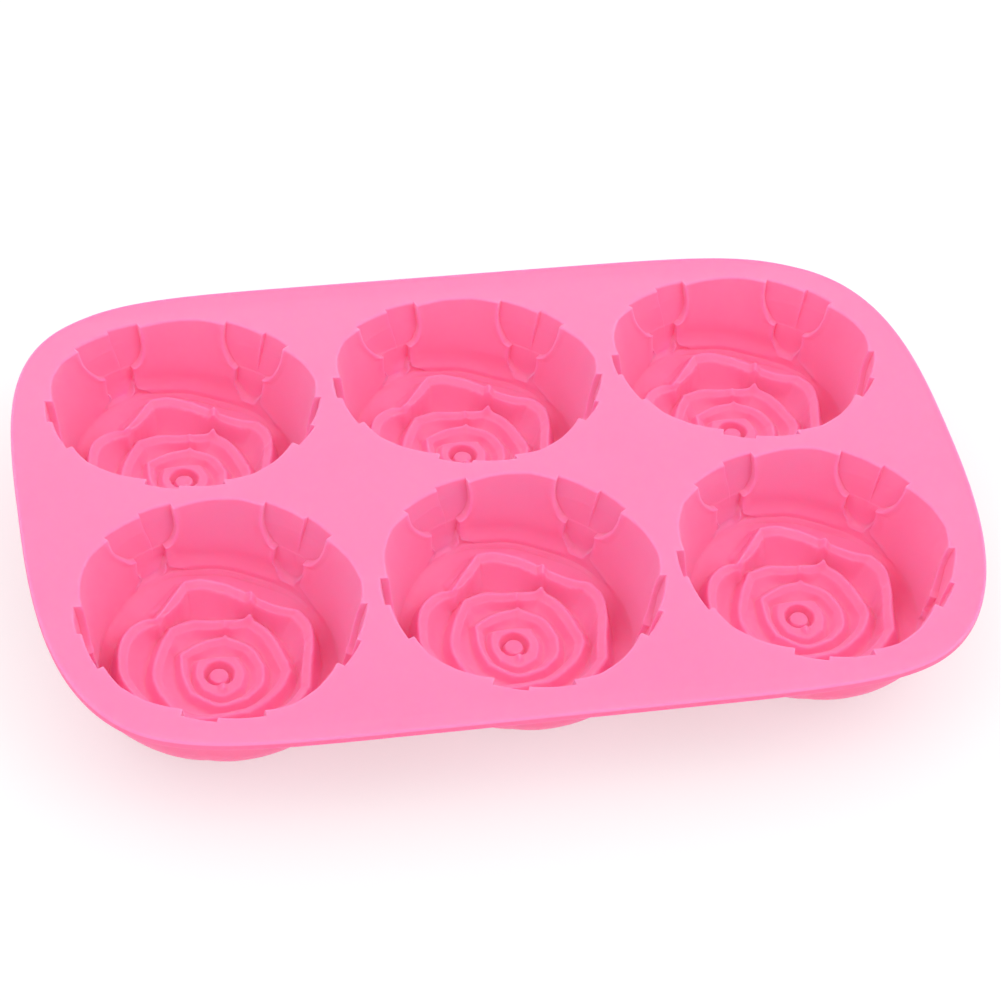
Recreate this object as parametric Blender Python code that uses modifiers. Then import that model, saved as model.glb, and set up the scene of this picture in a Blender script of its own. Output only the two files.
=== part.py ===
"""Six-cavity silicone soap mould, 3 by 2 rose cups hanging from one deck.  Metres, +Z up.

The origin is at the bottom centre of the mould: X runs along its length, Y from front to back.
The real mould is one silicone moulding.  Its regions are separate closed bodies here:
the deck sheet, the edge band round it and the six rose cups below its mouths.
"""
import math

import bpy
from mathutils import Matrix, Vector

# ---- overall ----
NAME = "silicone_soap_mould"
HALF_LENGTH = 0.1288         # outer edge, along X
HALF_WIDTH = 0.0876          # outer edge, along Y
LONG_SIDE_POWER = 7.0        # how square the outline stays along its long sides
SHORT_SIDE_POWER = 3.0       # how square it stays along its bowed short sides
DECK_TOP = 0.0355            # deck top above the table, on the centre line
DECK_THICK = 0.0022
BEND_RADIUS = 0.566          # the deck droops towards its long edges round this radius
MARGIN_FROM = 0.078          # from here outwards, along Y, the margin eases to level
MARGIN_EASE = 0.004          # over this width
GAP = 0.0003                 # between neighbouring bodies
OUTLINE_POINTS = 72

# the sheet is flat between these distances from its centre line
SHEET_LINES = (0.0065, 0.0185, 0.0305, 0.0425, 0.0545, 0.0665, 0.0768, 0.0792, 0.0816, 0.1000)

# ---- edge band ----
BAND_WIDTH = 0.006
EDGE_ROUND = 0.0005
EDGE_RISE = 0.0005           # the edge stands this much above the sheet beside it
BAND_SECTION = (             # (outward, up) from the sheet's top at the outer edge, once round
    (-BAND_WIDTH, 0.0), (-EDGE_ROUND, EDGE_RISE), (-0.3 * EDGE_ROUND, EDGE_RISE - 0.3 * EDGE_ROUND),
    (0.0, EDGE_RISE - EDGE_ROUND), (0.0, EDGE_RISE - DECK_THICK + EDGE_ROUND),
    (-0.3 * EDGE_ROUND, EDGE_RISE - DECK_THICK + 0.3 * EDGE_ROUND),
    (-EDGE_ROUND, EDGE_RISE - DECK_THICK), (-BAND_WIDTH, -DECK_THICK))

# ---- cups ----
MOUTH_R = 0.0375
PITCH = 0.080                # cup to cup, both ways
COLUMNS = ("left", "centre", "right")
ROWS = (("front", -0.5), ("back", 0.5))
SEPALS = 5
SEPAL_START = 48.0           # degrees from +X to the first sepal
SEPAL_PERIOD = 360.0 / SEPALS
SECTORS = 40                 # eight to a sepal period
LOW_R = 0.985                # the wall's radius, at the mouth, that its lower half tapers from
DRAFT = 0.20                 # the wall closes in by this much of its depth
EDGE_DEG = 1.2               # half the width of a step in the mouth's edge
# the mouth's edge, from the middle of one sepal to the next: degrees and radius, of MOUTH_R
SEPAL_EDGE = ((-17.0, 1.013), (-3.0, 1.030), (-3.0, 0.995), (17.0, 1.023))
PETAL_EDGE = ((17.0, 0.980), (28.0, 1.003), (40.0, 0.992), (55.0, 0.960))
# depth below the deck and half the width in degrees of a sepal there, of MOUTH_R
SEPAL_SHAPE = ((0.00, 17.0), (0.18, 16.0), (0.35, 9.5), (0.47, 8.0), (0.58, 2.0))
SEPAL_TIP = 0.55
CUP_TOP = (DECK_THICK + GAP) / MOUTH_R

# crests of the rose's petals, once round: degrees and radius, of MOUTH_R
BUD = ((0.0, 0.158), (43.0, 0.180), (90.0, 0.125), (137.0, 0.180), (183.0, 0.156), (229.0, 0.184),
       (271.0, 0.205), (313.0, 0.190))
INNER = ((0.0, 0.310), (38.0, 0.296), (74.0, 0.296), (110.0, 0.272), (146.0, 0.302), (184.0, 0.252),
         (219.0, 0.284), (268.0, 0.322), (301.0, 0.314))
MIDDLE = ((16.0, 0.457), (38.0, 0.480), (57.5, 0.515), (68.0, 0.415), (90.0, 0.405), (108.0, 0.458),
          (128.0, 0.488), (149.0, 0.448), (170.0, 0.451), (188.0, 0.470), (205.0, 0.481),
          (248.0, 0.480), (289.0, 0.455), (307.0, 0.450), (330.0, 0.475), (350.0, 0.493))
OUTER = ((1.5, 0.660), (16.5, 0.699), (28.0, 0.680), (39.0, 0.554), (54.0, 0.540), (60.5, 0.587),
         (78.0, 0.624), (93.0, 0.666), (103.5, 0.684), (118.0, 0.599), (136.0, 0.559), (151.0, 0.662),
         (163.0, 0.690), (178.0, 0.700), (192.0, 0.706), (215.0, 0.640), (250.0, 0.690),
         (285.0, 0.620), (306.0, 0.665), (328.0, 0.683), (346.0, 0.638))
OUTER_DEPTH = ((28.0, 0.560), (57.0, 0.660), (66.0, 0.560), (95.0, 0.515), (104.0, 0.530),
               (136.0, 0.610), (165.0, 0.550), (215.0, 0.590), (250.0, 0.570), (285.0, 0.600),
               (328.0, 0.570))
# rose floor, from the centre outwards: name, radius and depth, of MOUTH_R
FLOOR = (
    ("centre", 0.000, 0.800),
    ("dot_edge", 0.055, 0.810),
    ("moat", 0.090, 0.850),
    ("bud_crest", 0.150, 0.770),
    ("bud_valley", 0.190, 0.820),
    ("inner_crest", 0.280, 0.740),
    ("inner_valley", 0.330, 0.790),
    ("middle_crest", 0.460, 0.700),
    ("middle_valley", 0.510, 0.770),
    ("outer_shoulder", 0.600, 0.640),
    ("outer_crest", 0.650, 0.570),
    ("groove", 0.760, 0.740),
    ("wall_foot", 0.830, 0.640),
)
# the rows that follow a crest, and how far outside it they run, of MOUTH_R
FOLLOWS = {
    "bud_crest": (BUD, 0.0), "bud_valley": (BUD, 0.045),
    "inner_crest": (INNER, 0.0), "inner_valley": (INNER, 0.050),
    "middle_crest": (MIDDLE, 0.0), "middle_valley": (MIDDLE, 0.050),
    "outer_shoulder": (OUTER, -0.050), "outer_crest": (OUTER, 0.0), "groove": (OUTER, 0.080),
}
OUTER_CREST_DEPTH = 0.570    # that OUTER_DEPTH is measured from
LEAST_STEP = 0.016           # between neighbouring rows of the floor, of MOUTH_R
WALL_DEPTHS = (0.58, 0.47, 0.35, 0.18, CUP_TOP)
# underside, from the top down: name, radius and depth, of MOUTH_R
UNDERSIDE = (
    ("flange", 1.055, CUP_TOP),
    ("under_wall", 0.983, 0.350),
    ("under_fold", 0.937, 0.580),
    ("under_petal", 0.760, 0.800),
    ("foot_edge", 0.480, 0.930),
    ("foot", 0.000, 0.930),
)


def clear_scene():
    for obj in list(bpy.data.objects):
        bpy.data.objects.remove(obj, do_unlink=True)


def new_collection(name, cutters=False):
    group = bpy.data.collections.new(name)
    bpy.context.scene.collection.children.link(group)
    group.hide_render = cutters
    return group


def silicone(name, tint):
    mat = bpy.data.materials.new(name)
    mat.use_nodes = True
    shader = mat.node_tree.nodes["Principled BSDF"]
    shader.inputs["Base Color"].default_value = (0.96, 0.27 * tint, 0.46 * tint, 1.0)
    shader.inputs["Roughness"].default_value = 0.42
    return mat


def place(name, mesh, group, tint=1.0, smooth=True):
    obj = bpy.data.objects.new(name, mesh)
    group.objects.link(obj)
    if group.hide_render:
        obj.hide_render = True
        obj.display_type = "WIRE"
        return obj
    mesh.materials.clear()
    mesh.materials.append(silicone(name + "_silicone", tint))
    if smooth:
        mesh.shade_smooth()
    return obj


def baked(obj):
    """The object's shape with its modifiers carried out."""
    view = bpy.context.evaluated_depsgraph_get()
    view.update()
    return bpy.data.meshes.new_from_object(obj.evaluated_get(view))


def droop(y):
    """How far the deck's top lies below its centre line here."""
    bent = min(abs(y), MARGIN_FROM)
    eased = min(abs(y) - bent, MARGIN_EASE)
    slope = MARGIN_FROM / BEND_RADIUS
    return -bent * bent / (2.0 * BEND_RADIUS) - slope * (eased - eased * eased / (2.0 * MARGIN_EASE))


# ---- outline ----
def on_outline(turn):
    """The point of the outer edge in this direction of the superellipse."""
    c = math.cos(turn)
    s = math.sin(turn)
    x = HALF_LENGTH * math.copysign(abs(c) ** (2.0 / LONG_SIDE_POWER), c)
    y = HALF_WIDTH * math.copysign(abs(s) ** (2.0 / SHORT_SIDE_POWER), s)
    return Vector((x, y))


def outline(count):
    """Points at even steps round the outer edge, starting on +X."""
    fine = 4000
    dense = [on_outline(2.0 * math.pi * i / fine) for i in range(fine + 1)]
    travelled = [0.0]
    for a, b in zip(dense, dense[1:]):
        travelled.append(travelled[-1] + (b - a).length)
    points = []
    at = 0
    for i in range(count):
        wanted = travelled[-1] * i / count
        while travelled[at + 1] <= wanted:
            at += 1
        share = (wanted - travelled[at]) / (travelled[at + 1] - travelled[at])
        points.append(dense[at].lerp(dense[at + 1], share))
    return points


def inset(points, distance):
    """The closed loop moved inwards, square to itself."""
    moved = []
    for i, p in enumerate(points):
        along = points[(i + 1) % len(points)] - points[i - 1]
        inwards = Vector((-along.y, along.x)).normalized()
        moved.append(p + inwards * distance)
    return moved


def prism(name, points, low, high, group, frame=None):
    """A closed 2-D curve filled and extruded between two heights, as a cutter."""
    curve = bpy.data.curves.new(name, "CURVE")
    curve.dimensions = "2D"
    curve.fill_mode = "BOTH"
    curve.extrude = (high - low) / 2.0
    spline = curve.splines.new("POLY")
    spline.points.add(len(points) - 1)
    for knot, p in zip(spline.points, points):
        knot.co = (p.x, p.y, 0.0, 1.0)
    spline.use_cyclic_u = True
    source = bpy.data.objects.new(name + "_curve", curve)
    group.objects.link(source)
    mesh = baked(source)
    bpy.data.objects.remove(source, do_unlink=True)
    mesh.transform(Matrix.Translation((0.0, 0.0, (low + high) / 2.0)))
    if frame is not None:
        mesh.transform(frame)
    return place(name, mesh, group)


# ---- cups ----
def cup_frame(x, y):
    """Where a cup hangs: square to the drooping deck at its mouth's centre."""
    lean = math.atan(-y / BEND_RADIUS)
    return Matrix.Translation((x, y, DECK_TOP + droop(y))) @ Matrix.Rotation(lean, 4, "X")


def sepal_half(depth):
    """Half the width of a sepal at this depth, in degrees."""
    for (d0, a0), (d1, a1) in zip(SEPAL_SHAPE, SEPAL_SHAPE[1:]):
        if depth <= d1:
            return a0 + (a1 - a0) * (depth - d0) / (d1 - d0)
    return SEPAL_SHAPE[-1][1]


def wall_ring(depth):
    """Angle in degrees and radius, of MOUTH_R, for each sector of the wall at this depth."""
    half = sepal_half(depth)
    narrower = half / SEPAL_SHAPE[0][1]
    (_, r0), (leaf, r1), (_, r2), (_, r3) = SEPAL_EDGE
    (_, p0), (crest_at, p1), (_, p2), (_, p3) = PETAL_EDGE
    step = (
        (-SEPAL_PERIOD / 2.0, p2, False), (-half - EDGE_DEG, p3, False),
        (-half + EDGE_DEG, r0, True), (leaf * narrower - EDGE_DEG / 2.0, r1, True),
        (leaf * narrower + EDGE_DEG / 2.0, r2, True), (half - EDGE_DEG, r3, True),
        (half + EDGE_DEG, p0, False), (crest_at, p1, False))
    mouth_share = max(0.0, 1.0 - depth / 0.5)
    ring = []
    for k in range(SEPALS):
        middle = SEPAL_START + k * SEPAL_PERIOD
        for angle, edge, in_sepal in step:
            share = mouth_share if not in_sepal else float(depth < SEPAL_TIP)
            radius = LOW_R + (edge - LOW_R) * share - DRAFT * depth
            ring.append((middle + angle, radius))
    return ring


def turned_past(angle, start):
    """The same direction, counted from start up to a full turn beyond it."""
    return (angle - start) % 360.0 + start


def along(points, angle):
    """The value in this direction of a closed table of directions and values."""
    start, first = points[0]
    angle = turned_past(angle, start)
    for (a0, v0), (a1, v1) in zip(points, points[1:] + ((start + 360.0, first),)):
        if angle <= a1:
            return v0 + (v1 - v0) * (angle - a0) / (a1 - a0)


def drawn_to(points, angle):
    """The direction, moved to that of a table's point when one is nearer than half a sector."""
    for point, _ in points:
        off = turned_past(point - angle, -180.0)
        if abs(off) < 180.0 / SECTORS:
            return angle + off
    return angle


def floor_places(sector):
    """Angle in degrees, radius and depth, of MOUTH_R, of each floor row in this sector."""
    even = SEPAL_START - SEPAL_PERIOD / 2.0 + sector * 360.0 / SECTORS
    places = {}
    reached = 0.0
    for name, radius, depth in FLOOR:
        angle = even
        if name in FOLLOWS:
            crest, outside = FOLLOWS[name]
            angle = drawn_to(crest, even)
            radius = along(crest, angle) + outside
        if name.startswith("outer"):
            depth += along(OUTER_DEPTH, angle) - OUTER_CREST_DEPTH
        if radius > 0.0:
            radius = max(radius, reached + LEAST_STEP)
        reached = radius
        places[name] = (angle, radius, depth)
    return places


def cup_profile():
    """The rows of a cup from the middle of its floor, over the top, to its foot."""
    rows = list(FLOOR)
    for depth in WALL_DEPTHS:
        rows.append(("wall", LOW_R - DRAFT * depth, depth))
    rows.extend(UNDERSIDE)
    return rows


def turned_cup(name, group):
    """The cup's section turned once round, still without petals."""
    rows = cup_profile()
    mesh = bpy.data.meshes.new(name + "_section")
    points = [(r * MOUTH_R, 0.0, -d * MOUTH_R) for _, r, d in rows]
    mesh.from_pydata(points, [(i, i + 1) for i in range(len(points) - 1)], [])
    source = bpy.data.objects.new(name + "_section", mesh)
    group.objects.link(source)
    turn = source.modifiers.new("turn", "SCREW")
    turn.axis = "Z"
    turn.steps = SECTORS
    turn.render_steps = SECTORS
    turn.use_merge_vertices = True
    turn.merge_threshold = 0.00001
    turned = baked(source)
    bpy.data.objects.remove(source, do_unlink=True)
    return turned


def nearest_row(rows, radius, depth):
    return min(range(len(rows)), key=lambda i: abs(rows[i][1] - radius) + abs(rows[i][2] - depth))


def rose_cup(name, frame, group, tint):
    """One cup: a turned body with the sepals and petals pressed into it."""
    rows = cup_profile()
    floor = [floor_places(sector) for sector in range(SECTORS)]
    mesh = turned_cup(name, group)
    for vert in mesh.vertices:
        radius = math.hypot(vert.co.x, vert.co.y) / MOUTH_R
        kind, row_r, depth = rows[nearest_row(rows, radius, -vert.co.z / MOUTH_R)]
        sector = round(math.degrees(math.atan2(vert.co.y, vert.co.x)) / (360.0 / SECTORS)) % SECTORS
        angle, radius = wall_ring(depth)[sector]
        if kind == "flange":
            radius = row_r
        elif kind in floor[sector]:
            angle, radius, depth = floor[sector][kind]
        elif kind != "wall":
            angle = SEPAL_START - SEPAL_PERIOD / 2.0 + sector * 360.0 / SECTORS
            radius = row_r
        x = radius * MOUTH_R * math.cos(math.radians(angle))
        y = radius * MOUTH_R * math.sin(math.radians(angle))
        follow = max(0.0, 1.0 - (depth - CUP_TOP) / 0.3)
        vert.co = frame @ Vector((x, y, -depth * MOUTH_R + droop(y) * follow))
        if kind.startswith("foot"):
            vert.co.z = 0.0
    return place(name, mesh, group, tint)


def mouth_cutter(name, frame, group):
    points = []
    for angle, radius in wall_ring(0.0):
        turn = math.radians(angle)
        points.append(Vector((math.cos(turn), math.sin(turn))) * radius * MOUTH_R)
    return prism(name, points, -0.008, 0.006, group, frame)


# ---- deck and edge band ----
def deck_sheet(group, cutters, frames):
    """The drooping sheet, cut to its outline and through at the six mouths."""
    lines = [-y for y in reversed(SHEET_LINES)] + list(SHEET_LINES)
    bpy.ops.mesh.primitive_grid_add(x_subdivisions=1, y_subdivisions=len(lines) - 1, size=1.0)
    sheet = bpy.context.object
    for vert in sheet.data.vertices:
        x = vert.co.x * 2.2 * HALF_LENGTH
        y = lines[round((vert.co.y + 0.5) * (len(lines) - 1))]
        vert.co = Vector((x, y, DECK_TOP + droop(y)))
    thick = sheet.modifiers.new("thickness", "SOLIDIFY")
    thick.thickness = DECK_THICK
    thick.offset = -1.0
    inner = inset(outline(OUTLINE_POINTS), BAND_WIDTH + GAP)
    trim = prism("outline_trim", inner, -0.01, DECK_TOP + 0.02, cutters)
    cut = sheet.modifiers.new("outline", "BOOLEAN")
    cut.operation = "INTERSECT"
    cut.solver = "EXACT"
    cut.object = trim
    for name, frame in frames:
        hole = sheet.modifiers.new("mouth_" + name, "BOOLEAN")
        hole.operation = "DIFFERENCE"
        hole.solver = "EXACT"
        hole.object = mouth_cutter("mouth_" + name, frame, cutters)
    mesh = baked(sheet)
    bpy.data.objects.remove(sheet, do_unlink=True)
    return place("deck_sheet", mesh, group, 1.0, smooth=False)


def edge_band(group, cutters):
    """The margin with its rounded outer edge: a section swept once round the outline."""
    section = bpy.data.curves.new("band_section", "CURVE")
    section.dimensions = "2D"
    spline = section.splines.new("POLY")
    spline.points.add(len(BAND_SECTION) - 1)
    for knot, (out, up) in zip(spline.points, BAND_SECTION):
        knot.co = (out, up, 0.0, 1.0)
    spline.use_cyclic_u = True
    section_obj = bpy.data.objects.new("band_section", section)
    cutters.objects.link(section_obj)
    section_obj.hide_render = True
    path = bpy.data.curves.new("band_path", "CURVE")
    path.dimensions = "3D"
    path.twist_mode = "Z_UP"
    path.bevel_mode = "OBJECT"
    path.bevel_object = section_obj
    track = path.splines.new("POLY")
    points = outline(OUTLINE_POINTS)
    track.points.add(len(points) - 1)
    for knot, p in zip(track.points, points):
        inner_y = p.y * (1.0 - BAND_WIDTH / HALF_WIDTH)
        knot.co = (p.x, p.y, DECK_TOP + droop(inner_y), 1.0)
    track.use_cyclic_u = True
    source = bpy.data.objects.new("band_path", path)
    cutters.objects.link(source)
    mesh = baked(source)
    bpy.data.objects.remove(source, do_unlink=True)
    return place("edge_band", mesh, group, 0.97)


def build():
    clear_scene()
    group = new_collection(NAME)
    cutters = new_collection("cutters", cutters=True)
    frames = []
    for row, side in ROWS:
        for column, along in zip(COLUMNS, (-1.0, 0.0, 1.0)):
            frames.append((row + "_" + column, cup_frame(along * PITCH, side * PITCH)))
    deck_sheet(group, cutters, frames)
    edge_band(group, cutters)
    for i, (name, frame) in enumerate(frames):
        rose_cup("rose_cup_" + name, frame, group, 0.94 + 0.01 * i)


build()
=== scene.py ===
"""Looks of the six-cavity silicone soap mould: one continuous pink moulding with rose cups.

Lengths inside a cup are in mouth radii, with the mouth's centre at 0 and depth counted down.
Everything else is in metres, in the CAD's own frame.
"""

import math

import bmesh
import bpy
import numpy as np
from mathutils import Matrix, Vector


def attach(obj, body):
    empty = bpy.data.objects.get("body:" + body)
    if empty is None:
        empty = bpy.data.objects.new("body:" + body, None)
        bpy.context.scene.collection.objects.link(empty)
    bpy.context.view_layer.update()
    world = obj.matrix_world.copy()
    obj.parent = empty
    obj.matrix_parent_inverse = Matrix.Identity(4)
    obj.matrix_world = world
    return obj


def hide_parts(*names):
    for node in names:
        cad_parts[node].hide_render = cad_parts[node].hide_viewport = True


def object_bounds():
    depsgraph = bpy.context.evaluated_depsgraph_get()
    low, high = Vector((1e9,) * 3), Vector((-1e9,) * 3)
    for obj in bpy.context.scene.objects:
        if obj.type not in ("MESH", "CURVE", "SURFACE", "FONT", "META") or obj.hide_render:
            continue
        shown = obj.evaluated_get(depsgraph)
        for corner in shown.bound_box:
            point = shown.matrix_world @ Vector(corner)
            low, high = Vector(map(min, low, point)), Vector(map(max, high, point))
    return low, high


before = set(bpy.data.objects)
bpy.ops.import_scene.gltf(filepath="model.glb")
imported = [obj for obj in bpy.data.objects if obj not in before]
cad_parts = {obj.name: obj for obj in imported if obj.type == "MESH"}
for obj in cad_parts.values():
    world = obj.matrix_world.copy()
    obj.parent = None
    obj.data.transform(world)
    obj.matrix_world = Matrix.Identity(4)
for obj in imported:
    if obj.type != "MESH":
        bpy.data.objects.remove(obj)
CAD_BOX = [list(corner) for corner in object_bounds()]

# ---- sizes, from the CAD's box and its design ----
BOX_LOW, BOX_HIGH = (Vector(corner) for corner in CAD_BOX)
HALF_LENGTH = (BOX_HIGH.x - BOX_LOW.x) / 2.0
HALF_WIDTH = (BOX_HIGH.y - BOX_LOW.y) / 2.0
EDGE_RISE = 0.0005           # the outer edge stands this much above the deck
DECK_TOP = BOX_HIGH.z - EDGE_RISE
DECK_THICK = 0.0022
BEND_RADIUS = 0.566
MARGIN_FROM = 0.078
MARGIN_EASE = 0.004
LONG_SIDE_POWER = 7.0
SHORT_SIDE_POWER = 3.0
MOUTH_R = 0.0375
PITCH = 0.080
CUP_COLUMNS = (-1.0, 0.0, 1.0)
CUP_ROWS = (-0.5, 0.5)
SKIN = 0.0020                # thickness of a cup's wall and floor

# ---- mesh density ----
SECTORS = 384                # columns round a cup
DENSE = 9.0                  # how much closer the columns run beside each edge of a sepal
DENSE_HALF = 0.9             # degrees, how far to each side of the edge they do
FINE_STEPS = 7201            # steps in one sepal's period when the columns are shared out
OUTLINE_STEPS = 2400


def lerp(a, b, t):
    """A blend from a to b."""
    return a + (b - a) * t


def smooth(t):
    """A blend from 0 to 1 that starts and ends level."""
    t = np.clip(t, 0.0, 1.0)
    return t * t * (3.0 - 2.0 * t)


def rib(x, at, half):
    """A rounded rib of height 1."""
    return np.exp(-((x - at) / half) ** 2)


def droop(y):
    """How far the deck's top lies below its centre line, easing to level in the margin."""
    bent = np.minimum(np.abs(y), MARGIN_FROM)
    eased = np.minimum(np.abs(y) - bent, MARGIN_EASE)
    slope = MARGIN_FROM / BEND_RADIUS
    return -bent * bent / (2.0 * BEND_RADIUS) - slope * (eased - eased * eased / (2.0 * MARGIN_EASE))


# ---------------------------------------------------------------- outline
EDGE_BAND = 0.006            # the edge's section starts this far inside the outline


def dense_outline():
    """The deck's outer edge in plan, in even steps."""
    turn = np.linspace(0.0, 2.0 * np.pi, OUTLINE_STEPS, endpoint=False)
    c = np.cos(turn)
    s = np.sin(turn)
    x = HALF_LENGTH * np.sign(c) * np.abs(c) ** (2.0 / LONG_SIDE_POWER)
    y = HALF_WIDTH * np.sign(s) * np.abs(s) ** (2.0 / SHORT_SIDE_POWER)
    return even_steps(np.column_stack((x, y)), OUTLINE_STEPS)


def even_steps(points, count):
    """The same closed line with its points evenly spaced."""
    closed = np.vstack((points, points[:1]))
    steps = np.hypot(*np.diff(closed, axis=0).T)
    along = np.concatenate(([0.0], np.cumsum(steps)))
    wanted = np.linspace(0.0, along[-1], count, endpoint=False)
    return np.column_stack([np.interp(wanted, along, closed[:, i]) for i in (0, 1)])


def outward_normals(points):
    """Unit normals of a closed line that runs anticlockwise."""
    along = np.roll(points, -1, axis=0) - np.roll(points, 1, axis=0)
    normals = np.column_stack((along[:, 1], -along[:, 0]))
    return normals / np.linalg.norm(normals, axis=1)[:, None]


OUTLINE = dense_outline()
INSET = OUTLINE - outward_normals(OUTLINE) * EDGE_BAND


# ---------------------------------------------------------------- sepals
SEPALS = 5
SEPAL_START = 48.0           # degrees from +X to the first sepal
SEPAL_PERIOD = 360.0 / SEPALS
HALF_PERIOD = SEPAL_PERIOD / 2.0
SEPAL_DEEP = 0.044           # how far a sepal is sunk into the wall
LEAF_STEP = 0.013            # one half of a sepal lies over the other
LEAF_STEP_TO = 0.34          # depth where that step has died away
LEAF_STEP_EASE = 0.20
LEAF_LINE = -2.5             # degrees from the middle of a sepal to that step
LEAF_CLEAR = 0.6             # degrees it keeps from the sepal's side
WALL_TOP_R = 0.970           # the plain wall's radius at the mouth
DRAFT = 0.20                 # the wall closes in by this much of its depth
EDGE_HALF = 0.16             # degrees, half the width of a sepal's step
MOUTH_FADE = 0.46            # depth where the mouth's own profile has died away
# how far the mouth's edge lies outside WALL_TOP_R: between the sepals, then on a sepal's two halves
PETAL_EDGE = ((-36.0, 0.019), (-32.0, 0.016), (-16.8, -0.019), (16.4, 0.001), (28.0, 0.028),
              (36.0, 0.019))
LEAF_EDGE = ((-16.8, 0.035), (-2.66, 0.050), (-2.34, 0.014), (16.4, 0.045))
# how far each sepal's lobe hangs round from straight, in degrees
LOBE_LEAN = (1.0, -4.0, -1.0, 1.0, -1.5)
LEAN_REACH = 32.0            # degrees from the sepal's middle where the lean has died away
LEAN_EASE = 14.0
LEAN_DEPTH = 0.40            # depth where the lean is full
# depth, and the half width in degrees on the clockwise and the other side
SEPAL_SIDES = (
    (0.000, 16.8, 16.4), (0.120, 16.6, 16.2), (0.200, 15.6, 15.0), (0.260, 14.0, 13.2),
    (0.305, 12.2, 11.4), (0.335, 10.6, 10.0), (0.350, 9.0, 8.6), (0.362, 7.6, 7.4),
    (0.385, 8.3, 7.9), (0.430, 8.5, 8.0))
NOTCH = 0.358                # depth of the nick between a sepal's two layers
NOTCH_LEAD = 0.004           # the lower layer starts this much above the nick
NOTCH_EASE = 0.010
LOBE_RAISED = 0.004          # the lower layer is sunk this much less
SEPAL_TIP = 0.590
TIP_RISE = 0.110             # how much higher a sepal ends at TIP_HALF from its middle
TIP_HALF = 16.6
TIP_POWER = 2.2
TIP_EASE = 0.014
# the crease across the upper layer: height, depth, slant for each degree, half width
CREASE_TALL = 0.006
CREASE_DEPTH = 0.150
CREASE_SLANT = 0.0016
CREASE_HALF = 0.011
# the raised line beside a sepal: height, degrees beyond its side, half width
BEAD_TALL = 0.009
BEAD_AT = 1.2
BEAD_HALF = 0.9
BEAD_TOP_EASE = 0.05
BEAD_TO = 0.54
BEAD_TO_EASE = 0.10
# its knob at the nick: height, depth, half height, degrees beyond the side, half width
NICK_TALL = 0.008
NICK_DEPTH = 0.352
NICK_HALF_DEPTH = 0.016
NICK_AT = 0.6
NICK_HALF = 1.0
# and the line under the sepal's tip: height, distance below the tip, half width
UNDER_TIP_TALL = 0.011
UNDER_TIP = 0.012
# the step that runs on down the wall from a sepal's clockwise side
SEAM_OUT = 0.016             # how far the wall stands back on the sepal's side
SEAM_OUT_FADE = 9.0          # degrees
SEAM_IN = 0.006              # and how far it stands proud on the other
SEAM_IN_FADE = 2.5
SEAM_FROM = 0.42
SEAM_FROM_EASE = 0.08
SEAM_TO = 0.74
SEAM_TO_EASE = 0.06


def sepal_sides(depth):
    """Half widths of a sepal at this depth, clockwise and anticlockwise, in degrees."""
    table = np.array(SEPAL_SIDES)
    low = np.interp(depth, table[:, 0], table[:, 1])
    high = np.interp(depth, table[:, 0], table[:, 2])
    return low, high


def column_places():
    """Each column's sepal and its place in that sepal's period, in degrees.

    The places crowd round the sepal's two sides and its leaf line at the mouth.
    """
    low, high = sepal_sides(0.0)
    fine = np.linspace(-HALF_PERIOD, HALF_PERIOD, FINE_STEPS)
    weight = np.ones_like(fine)
    for edge in (-low, high, LEAF_LINE):
        weight += DENSE * rib(fine, edge, DENSE_HALF)
    share = np.concatenate(([0.0], np.cumsum((weight[1:] + weight[:-1]) / 2.0)))
    share /= share[-1]
    per_sepal = SECTORS / SEPALS
    index = np.arange(SECTORS)
    sepal = np.floor(index / per_sepal)
    place = np.interp((index / per_sepal) % 1.0, share, fine)
    return SEPAL_START + sepal * SEPAL_PERIOD, place


MIDDLES, PLACES = column_places()
LEANS = np.array(LOBE_LEAN)[np.round((MIDDLES - SEPAL_START) / SEPAL_PERIOD).astype(int)]
LEANS = LEANS * smooth((LEAN_REACH - np.abs(PLACES)) / LEAN_EASE)


def squeezed(depth):
    """Where each column runs at this depth, so that columns follow the sepals' sides."""
    low0, high0 = sepal_sides(0.0)
    low, high = sepal_sides(depth)
    leaf = max(LEAF_LINE, LEAF_CLEAR - low)
    was = (-HALF_PERIOD, -low0 - EDGE_HALF, -low0 + EDGE_HALF, LEAF_LINE - EDGE_HALF,
           LEAF_LINE + EDGE_HALF, high0 - EDGE_HALF, high0 + EDGE_HALF, HALF_PERIOD)
    now = (-HALF_PERIOD, -low - EDGE_HALF, -low + EDGE_HALF, leaf - EDGE_HALF, leaf + EDGE_HALF,
           high - EDGE_HALF, high + EDGE_HALF, HALF_PERIOD)
    return np.interp(PLACES, was, now)


def tip_depth():
    """Depth where each column's sepal ends: it is pointed, and lowest in its middle."""
    return SEPAL_TIP - TIP_RISE * (np.abs(PLACES) / TIP_HALF) ** TIP_POWER


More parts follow.
